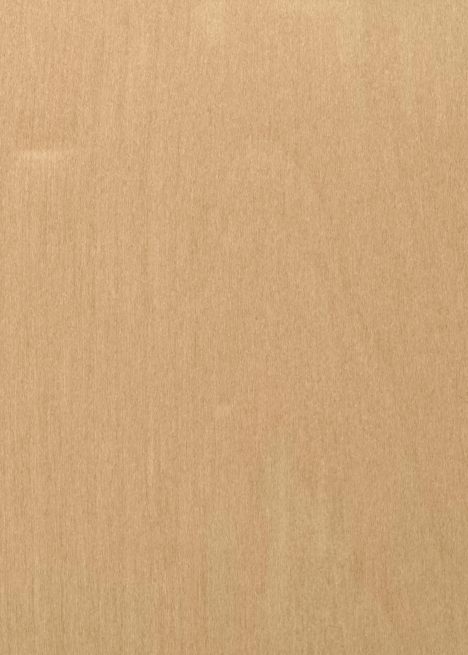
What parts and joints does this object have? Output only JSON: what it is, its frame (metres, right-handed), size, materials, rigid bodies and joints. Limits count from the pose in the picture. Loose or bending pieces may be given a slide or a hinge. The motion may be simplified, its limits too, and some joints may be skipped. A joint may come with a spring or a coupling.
{
  "type": "plywood sheet",
  "caption": "Flat rectangular hardwood plywood sheet, cross-laminated veneers showing as bands on square sawn edges, smooth close-grained face.",
  "frame": {"origin": "middle of the underside, on the surface that the sheet lies on", "axes": "+X across the face grain, +Y along the face grain and the sheet's length, +Z out of the show face"},
  "size_m": [0.297, 0.42, 0.012],
  "materials": {
    "birch_plywood": "sanded, unfinished"
  },
  "bodies": {
    "root": {"plywood_sheet": "birch_plywood"}
  },
  "joints": []
}
